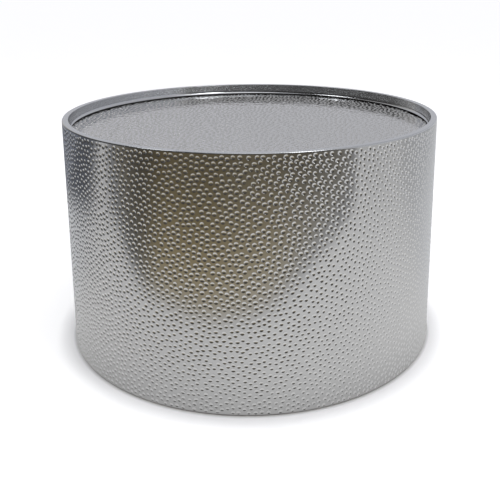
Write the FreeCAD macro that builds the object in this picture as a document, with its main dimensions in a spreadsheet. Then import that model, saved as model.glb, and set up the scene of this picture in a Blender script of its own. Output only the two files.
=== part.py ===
"""Round drum coffee table: a bent plywood drum clad in embossed sheet metal, with a recessed top."""
import FreeCAD, Part
import math
import os

import Sketcher

# Driving dimensions in millimetres, degrees and counts, with what each one sets
SIZES = {
    "table_height": (450, "floor to the top of the rim"),
    "drum_diameter": (740, "outside of the skin"),
    "floor_gap": (3, "floor to the foot of the drum, the height of a glide"),
    "clad_gauge": (1.2, "thickness of the skin and of the rim cap"),
    "wall_thickness": (9, "bent plywood wall"),
    "glue_gap": (0.2, "glue line between curved faces"),
    "rim_lip": (2.6, "height of the smooth lip above the skin"),
    "rim_edge_radius": (2.2, "outer edge of the rim"),
    "rim_inner_edge_radius": (1, "inner edge of the rim"),
    "rim_leg": (21, "depth of the rim's inner leg"),
    "cove_radius": (8, "hollow curve at the foot of the inner leg"),
    "cove_height": (6.5, "height of that curve"),
    "shadow_gap": (3, "foot of the inner leg to the top sheet"),
    "top_gauge": (1.2, "thickness of the top sheet"),
    "core_thickness": (15, "board under the top sheet"),
    "core_clearance": (0.5, "radial gap round the top board"),
    "ring_thickness": (18, "upper and base rings"),
    "ring_width": (60, "radial width of both rings"),
    "post_count": (6, "posts, glides and screws of each kind"),
    "post_width": (45, "post, along the wall"),
    "post_depth": (32, "post, across the wall"),
    "screw_shank": (4, "diameter of the wood screws"),
    "screw_head": (8, "diameter of their countersunk heads"),
    "screw_head_height": (2.2, "height of those heads"),
    "screw_tip": (4, "length of the screw's point"),
    "screw_clearance": (0.1, "gap round a screw"),
    "post_bite": (32, "depth of a screw in a post"),
    "core_bite": (10, "depth of a screw in the top board"),
    "glide_bite": (13, "depth of a screw in the base ring"),
    "glide_diameter": (32, "floor glide"),
    "glide_chamfer": (1, "bevel round the foot of a glide"),
    "glide_sink": (0.4, "floor to the head of a glide's screw"),
    "seam_gap": (0.8, "butt seam in the skin"),
    "seam_turn": (115, "angle of the seam about the drum's axis, which puts it at the back"),
    "pin_offset": (7, "from the seam's centre to a row of pins"),
    "pin_count": (9, "pins in each row"),
    "pin_margin": (20, "from the skin's ends to the nearest pin"),
    "pin_shank": (1.6, "diameter of a pin"),
    "pin_length": (8, "pin under its head"),
    "pin_head": (5, "diameter of a pin's dome"),
    "pin_dome": (1.1, "height of that dome"),
}

# Places that follow from those dimensions
PLACES = {
    "drum_radius": "drum_diameter / 2",
    "skin_inside": "drum_radius - clad_gauge",
    "skin_top": "table_height - rim_lip",
    "wall_outside": "skin_inside - glue_gap",
    "wall_inside": "wall_outside - wall_thickness",
    "wall_top": "table_height - clad_gauge - glue_gap",
    "rim_bend_inside": "rim_edge_radius - clad_gauge",
    "wall_edge_radius": "rim_bend_inside - glue_gap",
    "leg_outside": "wall_inside - glue_gap",
    "leg_inside": "leg_outside - clad_gauge",
    "leg_foot": "table_height - rim_leg",
    "cove_reach": "cove_radius - sqrt(cove_radius * cove_radius - cove_height * cove_height)",
    "top_level": "leg_foot - shadow_gap",
    "core_top": "top_level - top_gauge",
    "core_bottom": "core_top - core_thickness",
    "core_radius": "wall_inside - core_clearance",
    "ring_outside": "wall_inside - glue_gap",
    "ring_inside": "ring_outside - ring_width",
    "ring_middle": "ring_outside - ring_width / 2",
    "upper_ring_bottom": "core_bottom - ring_thickness",
    "base_ring_top": "floor_gap + ring_thickness",
    "post_length": "upper_ring_bottom - base_ring_top",
    "post_middle": "ring_outside - post_depth / 2",
    "post_face": "sqrt(ring_outside * ring_outside - post_width * post_width / 4)",
    "hole_radius": "screw_shank / 2 + screw_clearance",
    "head_hole_radius": "screw_head / 2 + screw_clearance",
    "step_angle": "360 / post_count",
    "pin_seat": "sqrt(drum_radius * drum_radius - (pin_offset - pin_head / 2) * (pin_offset - pin_head / 2))",
    "pin_first": "floor_gap + pin_margin",
    "pin_span": "skin_top - pin_margin - pin_first",
    "pin_hole_radius": "pin_shank / 2 + screw_clearance",
    "pin_dome_radius": "(pin_head * pin_head / 4 + pin_dome * pin_dome) / (2 * pin_dome)",
}

FULL_TURN = 360
HALF_TURN = 180
QUARTER_TURN = 90

doc = FreeCAD.newDocument("drum_table")
sheet = doc.addObject("Spreadsheet::Sheet", "Sizes")
for row, (alias, (value, note)) in enumerate(SIZES.items(), start=1):
    sheet.set(f"A{row}", str(value))
    sheet.setAlias(f"A{row}", alias)
    sheet.set(f"B{row}", note)
for row, (alias, formula) in enumerate(PLACES.items(), start=len(SIZES) + 1):
    sheet.set(f"A{row}", "=" + formula)
    sheet.setAlias(f"A{row}", alias)
doc.recompute()

sub_parts = []


def in_sheet(formula):
    """A formula as the document reads it: each word with a $ before it is a cell of the sheet."""
    return formula.replace("$", "Sizes.")


def reckon(formula):
    """The present value of a formula."""
    return float(sheet.evalExpression(in_sheet(formula)))


def bind(thing, prop, formula):
    """Ties a property to a formula."""
    thing.setExpression(prop, in_sheet(formula))


def new_body(label, turn="0"):
    """An empty body, turned about the drum's axis by the seam's angle and by turn."""
    body = doc.addObject("PartDesign::Body", label)
    body.Label = label
    whole_turn = f"$seam_turn + {turn}"
    body.Placement = FreeCAD.Placement(FreeCAD.Vector(), FreeCAD.Vector(0, 0, 1), reckon(whole_turn))
    bind(body, "Placement.Rotation.Angle", whole_turn)
    sub_parts.append(body)
    return body


def origin_part(body, role):
    """A plane or an axis of the body's own origin."""
    return next(item for item in body.Origin.OriginFeatures if item.Role == role)


def new_sketch(body, name, plane, **offsets):
    """A sketch on one of the body's planes, moved by formulas for x, y and z in the sketch's own directions."""
    sketch = body.newObject("Sketcher::SketchObject", f"{body.Label}_{name}")
    sketch.AttachmentSupport = [(origin_part(body, plane), "")]
    sketch.MapMode = "FlatFace"
    for direction, formula in offsets.items():
        bind(sketch, f"AttachmentOffset.Base.{direction}", formula)
    return sketch


def hold(sketch, kind, geometry, point, formula):
    """Holds one coordinate of a sketch point at a formula's value, from the sketch's origin."""
    value = reckon(formula)
    if value < 0:
        constraint = Sketcher.Constraint(kind, geometry, point, -1, 1, -value)
        formula = f"-({formula})"
    else:
        constraint = Sketcher.Constraint(kind, -1, 1, geometry, point, value)
    index = sketch.addConstraint(constraint)
    bind(sketch, f"Constraints[{index}]", formula)


def hold_point(sketch, geometry, point, across, up):
    """Holds a sketch point at two formulas, on the axis itself where one is 0."""
    for kind, axis, formula in (("DistanceX", -2, across), ("DistanceY", -1, up)):
        if formula == "0":
            sketch.addConstraint(Sketcher.Constraint("PointOnObject", geometry, point, axis))
        else:
            hold(sketch, kind, geometry, point, formula)


def draw_circle(sketch, radius, across="0", up="0"):
    """A circle about a point across and up from the sketch's origin."""
    middle = FreeCAD.Vector(reckon(across), reckon(up), 0)
    circle = sketch.addGeometry(Part.Circle(middle, FreeCAD.Vector(0, 0, 1), reckon(radius)))
    hold_point(sketch, circle, 3, across, up)
    index = sketch.addConstraint(Sketcher.Constraint("Radius", circle, reckon(radius)))
    bind(sketch, f"Constraints[{index}]", radius)


def draw_outline(sketch, corners):
    """A closed outline through corners (across, up) or (across, up, radius, side).

    A radius makes an arc from that corner to the next one. Its centre lies to the left of the way there
    where side is 1, and to the right where it is -1.
    """
    places = [FreeCAD.Vector(reckon(corner[0]), reckon(corner[1]), 0) for corner in corners]
    following = places[1:] + places[:1]
    ends = []
    for corner, start, end in zip(corners, places, following):
        if len(corner) == 2:
            line = sketch.addGeometry(Part.LineSegment(start, end))
            ends.append((line, 1, 2))
            continue
        radius, side = reckon(corner[2]), corner[3]
        chord = end - start
        depth = math.sqrt(radius ** 2 - (chord.Length / 2) ** 2)
        middle = (start + end) / 2 + FreeCAD.Vector(-chord.y, chord.x, 0).normalize() * depth * side
        first, last = (start, end) if side == 1 else (end, start)
        angles = [math.atan2(place.y - middle.y, place.x - middle.x) for place in (first, last)]
        circle = Part.Circle(middle, FreeCAD.Vector(0, 0, 1), radius)
        arc = sketch.addGeometry(Part.ArcOfCircle(circle, *angles))
        ends.append((arc, 1, 2) if side == 1 else (arc, 2, 1))
        index = sketch.addConstraint(Sketcher.Constraint("Radius", arc, radius))
        bind(sketch, f"Constraints[{index}]", corner[2])
    for here, there in zip(ends, ends[1:] + ends[:1]):
        sketch.addConstraint(Sketcher.Constraint("Coincident", here[0], here[2], there[0], there[1]))
    for corner, (geometry, point, _) in zip(corners, ends):
        hold_point(sketch, geometry, point, corner[0], corner[1])


def pad(body, sketch, length):
    """Raises a sketch along its normal."""
    feature = body.newObject("PartDesign::Pad", f"{sketch.Name}_pad")
    feature.Profile = sketch
    bind(feature, "Length", length)
    doc.recompute()
    return feature


def pocket(body, sketch, length, both_ways=False):
    """Cuts a sketch against its normal, or half the length each way."""
    feature = body.newObject("PartDesign::Pocket", f"{sketch.Name}_pocket")
    feature.Profile = sketch
    if both_ways:
        feature.SideType = "Symmetric"
    bind(feature, "Length", length)
    doc.recompute()
    return feature


def spin(body, sketch, kind="Revolution", axis="V_Axis", angle=FULL_TURN):
    """Turns a sketch about one of its own axes, half of the angle each way, to add or to cut."""
    feature = body.newObject(f"PartDesign::{kind}", f"{sketch.Name}_spin")
    feature.Profile = sketch
    feature.ReferenceAxis = (sketch, [axis])
    feature.Angle = angle
    feature.Midplane = True
    doc.recompute()
    return feature


def ring_of(body, feature):
    """Repeats a feature round the drum, once for each post."""
    pattern = body.newObject("PartDesign::PolarPattern", f"{feature.Name}_ring")
    pattern.Originals = [feature]
    pattern.Axis = (origin_part(body, "Z_Axis"), [""])
    pattern.Angle = FULL_TURN
    bind(pattern, "Occurrences", "$post_count")
    body.Tip = pattern
    doc.recompute()


def seam_rows(body, feature):
    """Repeats a feature up the drum and once more across the seam."""
    pattern = body.newObject("PartDesign::LinearPattern", f"{feature.Name}_rows")
    pattern.Originals = [feature]
    pattern.Direction = (origin_part(body, "Z_Axis"), [""])
    bind(pattern, "Length", "$pin_span")
    bind(pattern, "Occurrences", "$pin_count")
    pattern.Direction2 = (origin_part(body, "Y_Axis"), [""])
    bind(pattern, "Length2", "2 * $pin_offset")
    pattern.Occurrences2 = 2
    body.Tip = pattern
    doc.recompute()


def drill_seam(body, depth):
    """Holes for the seam's pins, as deep as the formula from the pins' seat."""
    sketch = new_sketch(body, "pin_hole", "YZ_Plane", z="$pin_seat")
    draw_circle(sketch, "$pin_hole_radius", "-$pin_offset", "$pin_first")
    seam_rows(body, pocket(body, sketch, depth))


def screw_corners(reach, up=1):
    """Half outline of a countersunk screw, from its head's face at 0 up or down by its reach."""
    sign = "" if up == 1 else "-"
    return [
        ("0", "0"),
        ("$screw_head / 2", "0"),
        ("$screw_shank / 2", f"{sign}$screw_head_height"),
        ("$screw_shank / 2", f"{sign}({reach} - $screw_tip)"),
        ("0", f"{sign}({reach})"),
    ]


def hole_corners(through, up=1):
    """Half outline of a countersunk hole through a board, from the head's face."""
    sign = "" if up == 1 else "-"
    return [
        ("0", "0"),
        ("$head_hole_radius", "0"),
        ("$hole_radius", f"{sign}$screw_head_height"),
        ("$hole_radius", f"{sign}({through})"),
        ("0", f"{sign}({through})"),
    ]


def screws(label, turn, radius, level, corners):
    """A ring of upright screws with the zero of their outline at one level."""
    body = new_body(label, turn)
    sketch = new_sketch(body, "outline", "XZ_Plane", x=radius, y=level)
    draw_outline(sketch, corners)
    ring_of(body, spin(body, sketch))


def countersink(body, radius, level, through, up=1):
    """A ring of countersunk holes through a board, the first one on the body's X."""
    sketch = new_sketch(body, "countersink", "XZ_Plane", x=radius, y=level)
    draw_outline(sketch, hole_corners(through, up))
    ring_of(body, spin(body, sketch, "Groove"))


def drill(body, radius, top, depth, angle):
    """A ring of plain holes that reach down by depth from top, the first one at an angle from the body's X."""
    sketch = new_sketch(body, "hole", "XY_Plane", z=top)
    draw_circle(sketch, "$hole_radius", f"{radius} * cos({angle})", f"{radius} * sin({angle})")
    ring_of(body, pocket(body, sketch, depth))


def board_ring(label, level):
    """A plywood ring with its posts' places on its own X, and upwards from level."""
    body = new_body(label, POST_TURN)
    sketch = new_sketch(body, "outline", "XY_Plane", z=level)
    draw_circle(sketch, "$ring_outside")
    draw_circle(sketch, "$ring_inside")
    pad(body, sketch, "$ring_thickness")
    return body


def half_wall(label, turn):
    """Half of the bent plywood wall, with its middle on its own X."""
    body = new_body(label, turn)
    sketch = new_sketch(body, "section", "XZ_Plane")
    draw_outline(sketch, [
        ("$wall_inside", "$floor_gap"),
        ("$wall_outside", "$floor_gap"),
        ("$wall_outside", "$wall_top - $wall_edge_radius", "$wall_edge_radius", 1),
        ("$wall_outside - $wall_edge_radius", "$wall_top"),
        ("$wall_inside", "$wall_top"),
    ])
    spin(body, sketch, angle=HALF_TURN)
    return body


def make_skin():
    """The embossed sheet round the wall, butted at its seam and pierced for the seam's pins."""
    body = new_body("drum_skin")
    sketch = new_sketch(body, "section", "XZ_Plane")
    draw_outline(sketch, [
        ("$skin_inside", "$floor_gap"),
        ("$drum_radius", "$floor_gap"),
        ("$drum_radius", "$skin_top"),
        ("$skin_inside", "$skin_top"),
    ])
    spin(body, sketch)
    seam = new_sketch(body, "seam", "XZ_Plane")
    draw_outline(seam, [
        ("$wall_outside", "$floor_gap / 2"),
        ("$drum_radius + $glue_gap", "$floor_gap / 2"),
        ("$drum_radius + $glue_gap", "$table_height"),
        ("$wall_outside", "$table_height"),
    ])
    pocket(body, seam, "$seam_gap", both_ways=True)
    drill_seam(body, "2 * $clad_gauge")


def make_pins():
    """Two rows of dome-headed pins along the seam."""
    body = new_body("seam_pins")
    sketch = new_sketch(body, "outline", "XY_Plane", y="-$pin_offset", z="$pin_first")
    draw_outline(sketch, [
        ("$pin_seat - $pin_length", "0"),
        ("$pin_seat + $pin_dome", "0", "$pin_dome_radius", 1),
        ("$pin_seat", "$pin_head / 2"),
        ("$pin_seat", "$pin_shank / 2"),
        ("$pin_seat - $pin_length", "$pin_shank / 2"),
    ])
    seam_rows(body, spin(body, sketch, axis="H_Axis"))


def make_rim():
    """The smooth cap over the wall's top edge: lip, flat, inner leg and the cove at the leg's foot."""
    body = new_body("rim_cap")
    sketch = new_sketch(body, "section", "XZ_Plane")
    draw_outline(sketch, [
        ("$skin_inside", "$skin_top"),
        ("$drum_radius", "$skin_top"),
        ("$drum_radius", "$table_height - $rim_edge_radius", "$rim_edge_radius", 1),
        ("$drum_radius - $rim_edge_radius", "$table_height"),
        ("$leg_inside + $rim_inner_edge_radius", "$table_height", "$rim_inner_edge_radius", 1),
        ("$leg_inside", "$table_height - $rim_inner_edge_radius"),
        ("$leg_inside", "$leg_foot + $cove_height", "$cove_radius", -1),
        ("$leg_inside - $cove_reach", "$leg_foot"),
        ("$leg_outside", "$leg_foot"),
        ("$leg_outside", "$table_height - $clad_gauge"),
        ("$skin_inside - $rim_bend_inside", "$table_height - $clad_gauge", "$rim_bend_inside", -1),
        ("$skin_inside", "$table_height - $rim_edge_radius"),
    ])
    spin(body, sketch)


def disc(label, level, thickness):
    """A round sheet or board as wide as the top, upwards from level."""
    body = new_body(label, POST_TURN)
    sketch = new_sketch(body, "outline", "XY_Plane", z=level)
    draw_circle(sketch, "$core_radius")
    pad(body, sketch, thickness)
    return body


def make_post(number):
    """One post between the rings, its outer face curved to the wall, with a screw hole in each end."""
    body = new_body(f"post_{number + 1}", f"{POST_TURN} + {number} * $step_angle")
    sketch = new_sketch(body, "section", "XY_Plane", z="$base_ring_top")
    inner = "$ring_outside - $post_depth"
    draw_outline(sketch, [
        (inner, "-$post_width / 2"),
        ("$post_face", "-$post_width / 2", "$ring_outside", 1),
        ("$post_face", "$post_width / 2"),
        (inner, "$post_width / 2"),
    ])
    pad(body, sketch, "$post_length")
    for end, top in (("lower", "$base_ring_top + $post_bite"), ("upper", "$upper_ring_bottom")):
        hole = new_sketch(body, f"{end}_hole", "XY_Plane", z=top)
        draw_circle(hole, "$hole_radius", "$post_middle")
        pocket(body, hole, "$post_bite")


def make_glide(number):
    """One floor glide: a bevelled puck with a countersunk hole."""
    body = new_body(f"glide_{number + 1}", f"{GLIDE_TURN} + {number} * $step_angle")
    sketch = new_sketch(body, "section", "XZ_Plane", x="$ring_middle")
    draw_outline(sketch, [
        ("$head_hole_radius", "0"),
        ("$glide_diameter / 2 - $glide_chamfer", "0"),
        ("$glide_diameter / 2", "$glide_chamfer"),
        ("$glide_diameter / 2", "$floor_gap"),
        ("$hole_radius", "$floor_gap"),
        ("$hole_radius", "$glide_sink + $screw_head_height"),
        ("$head_hole_radius", "$glide_sink"),
    ])
    spin(body, sketch)


POST_TURN = f"{QUARTER_TURN}"
GLIDE_TURN = f"{QUARTER_TURN} + $step_angle / 2"
POST_REACH = "$ring_thickness + $post_bite"
GLIDE_REACH = "$floor_gap - $glide_sink + $glide_bite"
CORE_REACH = "$ring_thickness + $core_bite"
PAN_SCREW = [
    ("0", "-$screw_head_height"),
    ("$screw_head / 2", "-$screw_head_height"),
    ("$screw_head / 2", "0"),
    ("$screw_shank / 2", "0"),
    ("$screw_shank / 2", f"{CORE_REACH} - $screw_tip"),
    ("0", CORE_REACH),
]

# Frame: rings, posts and the screws that join them
base_ring = board_ring("base_ring", "$floor_gap")
countersink(base_ring, "$post_middle", "$floor_gap", "$ring_thickness")
drill(base_ring, "$ring_middle", "$floor_gap + $glide_bite", "$glide_bite", "$step_angle / 2")
upper_ring = board_ring("upper_ring", "$upper_ring_bottom")
countersink(upper_ring, "$post_middle", "$core_bottom", "$ring_thickness", up=-1)
drill(upper_ring, "$ring_middle", "$core_bottom", "$ring_thickness", "$step_angle / 2")
post_numbers = range(round(reckon("$post_count")))
for number in post_numbers:
    make_post(number)
screws("base_ring_screws", POST_TURN, "$post_middle", "$floor_gap", screw_corners(POST_REACH))
screws("upper_ring_screws", POST_TURN, "$post_middle", "$core_bottom", screw_corners(POST_REACH, up=-1))

# Drum: wall, skin, seam and rim
half_wall("wall_front", f"{HALF_TURN}")
wall_back = half_wall("wall_back", "0")
drill_seam(wall_back, "$pin_length + $screw_clearance")
make_skin()
make_pins()
make_rim()

# Top: board, sheet and the screws under them
top_core = disc("top_core", "$core_bottom", "$core_thickness")
drill(top_core, "$ring_middle", "$core_bottom + $core_bite", "$core_bite", "$step_angle / 2")
disc("top_sheet", "$core_top", "$top_gauge")
screws("core_screws", GLIDE_TURN, "$ring_middle", "$upper_ring_bottom", PAN_SCREW)

# Feet: glides and their screws
for number in post_numbers:
    make_glide(number)
screws("glide_screws", GLIDE_TURN, "$ring_middle", "$glide_sink", screw_corners(GLIDE_REACH))

doc.recompute()
for item in doc.Objects:
    faults = {"Invalid", "Error"} & set(item.State)
    if faults:
        raise RuntimeError(f"{item.Label} did not build: {item.State}")
for body in sub_parts:
    if body.Shape.isNull() or not body.Shape.isValid():
        raise RuntimeError(f"{body.Label} has no valid shape")

os.makedirs("parts", exist_ok=True)
for body in sub_parts:
    body.Shape.exportStep(f"parts/{body.Label}.step")
    print(f"{body.Label}: {len(body.Shape.Solids)} solids, {body.Shape.Volume:.1f} mm3")
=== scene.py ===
"""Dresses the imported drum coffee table.

An embossed metal skin and top, a smooth rim and a wooden carcass, with the studio and the camera.
"""

import logging
import math
from dataclasses import dataclass, field, replace
from enum import Enum

import bpy
import numpy as np
from mathutils import Matrix, Vector
from mathutils.geometry import delaunay_2d_cdt


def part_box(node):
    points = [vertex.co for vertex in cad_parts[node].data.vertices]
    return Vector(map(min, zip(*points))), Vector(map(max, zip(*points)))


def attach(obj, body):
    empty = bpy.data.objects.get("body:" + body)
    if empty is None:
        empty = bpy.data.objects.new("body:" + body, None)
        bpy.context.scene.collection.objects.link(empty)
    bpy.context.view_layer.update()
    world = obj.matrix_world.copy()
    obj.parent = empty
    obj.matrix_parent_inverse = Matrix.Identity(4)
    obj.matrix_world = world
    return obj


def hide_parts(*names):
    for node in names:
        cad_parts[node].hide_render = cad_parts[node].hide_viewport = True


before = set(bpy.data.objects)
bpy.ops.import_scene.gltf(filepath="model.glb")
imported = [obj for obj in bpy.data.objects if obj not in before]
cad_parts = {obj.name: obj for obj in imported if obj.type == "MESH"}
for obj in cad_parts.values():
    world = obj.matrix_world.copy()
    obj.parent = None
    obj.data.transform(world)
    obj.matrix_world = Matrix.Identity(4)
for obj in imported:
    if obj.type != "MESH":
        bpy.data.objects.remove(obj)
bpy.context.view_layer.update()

MM = 0.001
BODY = "root"
PIT = "pit"
LIGHT = "light"
CUT_CLEAR = 0.3 * MM
UP = np.array([0.0, 0.0, 1.0])
log = logging.getLogger("drum_table")

Pair = tuple[float, float]
Triple = tuple[float, float, float]
Colour = Triple


class Wire:
    """A shader socket used in Python sums: every operation on it adds one Math node."""

    def __init__(self, paint: "Paint", socket: bpy.types.NodeSocket) -> None:
        """Keeps the socket and the tree that it is in."""
        self.paint = paint
        self.socket = socket

    def math(self, operation: str, first: "Wire | float", second: "Wire | float" = 0.0) -> "Wire":
        """Adds a Math node.

        Args:
            operation: Blender's name of the operation.
            first: first operand.
            second: second operand, where the operation has one.

        Returns:
            The node's value.
        """
        return self.paint.make("ShaderNodeMath", {"operation": operation}, {0: first, 1: second})

    def __add__(self, other: "Wire | float") -> "Wire":
        """Sum."""
        return self.math("ADD", self, other)

    def __radd__(self, other: float) -> "Wire":
        """Sum, number first."""
        return self.math("ADD", other, self)

    def __sub__(self, other: "Wire | float") -> "Wire":
        """Difference."""
        return self.math("SUBTRACT", self, other)

    def __rsub__(self, other: float) -> "Wire":
        """Difference, number first."""
        return self.math("SUBTRACT", other, self)

    def __mul__(self, other: "Wire | float") -> "Wire":
        """Product."""
        return self.math("MULTIPLY", self, other)

    def __rmul__(self, other: float) -> "Wire":
        """Product, number first."""
        return self.math("MULTIPLY", other, self)

    def __truediv__(self, other: "Wire | float") -> "Wire":
        """Quotient."""
        return self.math("DIVIDE", self, other)

    def __pow__(self, other: "Wire | float") -> "Wire":
        """Power."""
        return self.math("POWER", self, other)


class Paint:
    """Builds the node tree of one material or of the world."""

    def __init__(self, tree: bpy.types.NodeTree) -> None:
        """Empties the tree."""
        self.tree = tree
        tree.nodes.clear()

    def make(self, kind: str, settings: dict[str, object], inputs: dict[int | str, object],
             output: int | str = 0) -> Wire:
        """Adds one node.

        Args:
            kind: Blender's type name of the node.
            settings: properties set first; "stops" is a colour ramp's list of (position, colour).
            inputs: a value, colour or Wire for each socket, by name or number.
            output: the output socket to hand back, by name or number.

        Returns:
            That output, or the first input of a node that has no output.
        """
        node = self.tree.nodes.new(kind)
        for name, value in settings.items():
            if name == "stops":
                self.set_stops(node.color_ramp, value)
            else:
                setattr(node, name, value)
        for key, value in inputs.items():
            socket = node.inputs[key]
            if isinstance(value, Wire):
                self.tree.links.new(value.socket, socket)
            elif isinstance(value, tuple) and socket.type == "RGBA":
                socket.default_value = (*value, 1.0)
            else:
                socket.default_value = value
        return Wire(self, node.outputs[output] if node.outputs else node.inputs[0])

    @staticmethod
    def set_stops(ramp: bpy.types.ColorRamp, stops: tuple[tuple[float, Colour], ...]) -> None:
        """Gives a colour ramp its stops, lowest first."""
        for _ in stops[2:]:
            ramp.elements.new(0.5)
        for element, (position, colour) in zip(ramp.elements, stops):
            element.position = position
            element.color = (*colour, 1.0)

    def place(self, stretch: Triple = (1.0, 1.0, 1.0)) -> Wire:
        """Object coordinates in metres, stretched along the axes."""
        spot = self.make("ShaderNodeTexCoord", {}, {}, "Object")
        return self.make("ShaderNodeMapping", {}, {"Vector": spot, "Scale": stretch})

    def axes(self) -> tuple[Wire, Wire, Wire]:
        """Object coordinates as three values."""
        spot = self.make("ShaderNodeTexCoord", {}, {}, "Object")
        return tuple(self.make("ShaderNodeSeparateXYZ", {}, {0: spot}, axis) for axis in "XYZ")

    def speckle(self, scale: float, detail: float, stretch: Triple = (1.0, 1.0, 1.0)) -> Wire:
        """Noise from 0 to 1, about 0.5, over Object coordinates stretched along the axes."""
        inputs = {"Vector": self.place(stretch), "Scale": scale, "Detail": detail}
        return self.make("ShaderNodeTexNoise", {}, inputs)

    def round_marks(self, along: float, across: float, detail: float) -> Wire:
        """Noise whose marks run round the upright axis.

        It is a 4-D noise of the direction from the axis, the height and the radius.

        Args:
            along: how fast the noise changes round the axis, per radian.
            across: how fast it changes over radius and height, per metre.
            detail: how many finer layers it has.

        Returns:
            The noise from 0 to 1, about 0.5.
        """
        x, y, z = self.axes()
        radius = (x * x + y * y) ** 0.5
        parts = {0: x / radius * along, 1: y / radius * along, 2: z * across}
        vector = self.make("ShaderNodeCombineXYZ", {}, parts)
        inputs = {"Vector": vector, "W": radius * across, "Scale": 1.0, "Detail": detail}
        return self.make("ShaderNodeTexNoise", {"noise_dimensions": "4D"}, inputs)

    @staticmethod
    def about(mean: float, *parts: tuple[Wire, float]) -> Wire:
        """A value about a mean: the mean plus, for each part, (noise - 0.5) * spread.

        Args:
            mean: the value where every noise is 0.5.
            parts: each noise, and how far apart its 0 and 1 set the value.

        Returns:
            The value.
        """
        first, *others = (noise * spread for noise, spread in parts)
        return sum(others, first) + (mean - sum(spread for _, spread in parts) / 2.0)

    def ramp(self, value: Wire, low: float, high: float) -> Wire:
        """0 up to low, 1 from high, straight between."""
        return self.make("ShaderNodeMapRange", {}, {"Value": value, "From Min": low, "From Max": high})

    def blend(self, share: Wire, first: "Wire | Colour", second: "Wire | Colour") -> Wire:
        """Mixes two colours: share 0 is the first, 1 the second."""
        return self.make("ShaderNodeMix", {"data_type": "RGBA"}, {0: share, 6: first, 7: second}, 2)

    def darken(self, colour: Wire, share: Wire) -> Wire:
        """Multiplies a colour by a value."""
        return self.make("ShaderNodeVectorMath", {"operation": "SCALE"}, {0: colour, "Scale": share})

    def bump(self, height: Wire, depth: float) -> Wire:
        """A normal from a height of 0 to 1 that stands for so many metres."""
        return self.make("ShaderNodeBump", {}, {"Height": height, "Distance": depth}, "Normal")


def new_material(name: str) -> tuple[bpy.types.Material, Paint]:
    """A material with an empty node tree, and the tree's builder."""
    material = bpy.data.materials.new(name)
    material.use_nodes = True
    return material, Paint(material.node_tree)


def add_object(name: str, data: bpy.types.ID) -> bpy.types.Object:
    """Puts a mesh, lamp or camera into the scene as an object."""
    thing = bpy.data.objects.new(name, data)
    bpy.context.scene.collection.objects.link(thing)
    return thing


def stand_in(piece: bpy.types.Object, node: str) -> bpy.types.Object:
    """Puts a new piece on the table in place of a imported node.

    Args:
        piece: the new piece.
        node: the node that it replaces.

    Returns:
        The piece.
    """
    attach(piece, BODY)
    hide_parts(node)
    return piece


class Finish:
    """A finish of the table: a material's name and the sockets of its shader."""

    name: str

    def sockets(self, paint: Paint) -> dict[str, object]:
        """What the Principled shader of this finish gets.

        Args:
            paint: builder of the material's nodes.

        Returns:
            The values and links of the shader's sockets.
        """
        raise NotImplementedError

    def material(self) -> bpy.types.Material:
        """Makes the material.

        Returns:
            The material with its finished node tree.
        """
        material, paint = new_material(self.name)
        shader = paint.make("ShaderNodeBsdfPrincipled", {}, self.sockets(paint))
        paint.make("ShaderNodeOutputMaterial", {}, {"Surface": shader})
        return material


class Roll(Enum):
    """Way in which the sheet went through the embossing rollers."""

    ROUND = "round the drum"
    STRAIGHT = "along the top"


@dataclass(frozen=True)
class EmbossedMetal(Finish):
    """Bright rolled sheet: faint cloud and roller streaks in tone and gloss, pits painted lighter as a
    painted highlight.
    """

    name: str
    roll: Roll
    light: Colour = (0.540, 0.540, 0.540)
    dark: Colour = (0.500, 0.501, 0.503)
    gloss: float = 0.07
    pit_highlight: float = 0.26
    pit_gloss: float = 0.01
    cloud_scale: float = 5.0
    cloud_share: float = 0.7
    streaks_round: Pair = (2.0, 260.0)
    streaks_straight: Triple = (6.0, 260.0, 1.0)
    streak_gloss: float = 0.06
    streak_relief: float = 0.6
    grain_scale: float = 1400.0
    grain_gloss: float = 0.03
    wave: float = 0.0
    wave_scale: float = 75.0
    relief: float = 0.004 * MM

    def sockets(self, paint: Paint) -> dict[str, object]:
        """Tone from cloud and streaks, with the pits painted lighter as a painted highlight; gloss from
        streaks, grain and pits.

        The relief comes from streaks and grain, and from waves on a sheet that has them.

        Args:
            paint: builder of the material's nodes.

        Returns:
            The values and links of the shader's sockets.
        """
        pit = paint.make("ShaderNodeAttribute", {"attribute_name": PIT}, {}, "Fac")
        if self.roll is Roll.ROUND:
            streaks = paint.round_marks(*self.streaks_round, 3.0)
        else:
            streaks = paint.speckle(1.0, 3.0, self.streaks_straight)
        cloud = paint.speckle(self.cloud_scale, 3.0)
        grain = paint.speckle(self.grain_scale, 1.0)
        waves = paint.speckle(self.wave_scale, 0.0)
        share = cloud * self.cloud_share + streaks * (1.0 - self.cloud_share)
        tone = paint.blend(share, self.dark, self.light)
        height = waves * self.wave + streaks * self.streak_relief + grain * (1.0 - self.streak_relief)
        gloss = paint.about(self.gloss, (streaks, self.streak_gloss), (grain, self.grain_gloss))
        return {
            # The pits' base colour is raised: a painted highlight.
            "Base Color": paint.darken(tone, 1.0 + pit * self.pit_highlight),
            "Roughness": gloss - pit * self.pit_gloss,
            "Metallic": 1.0,
            "Normal": paint.bump(height, self.relief),
        }


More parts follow.
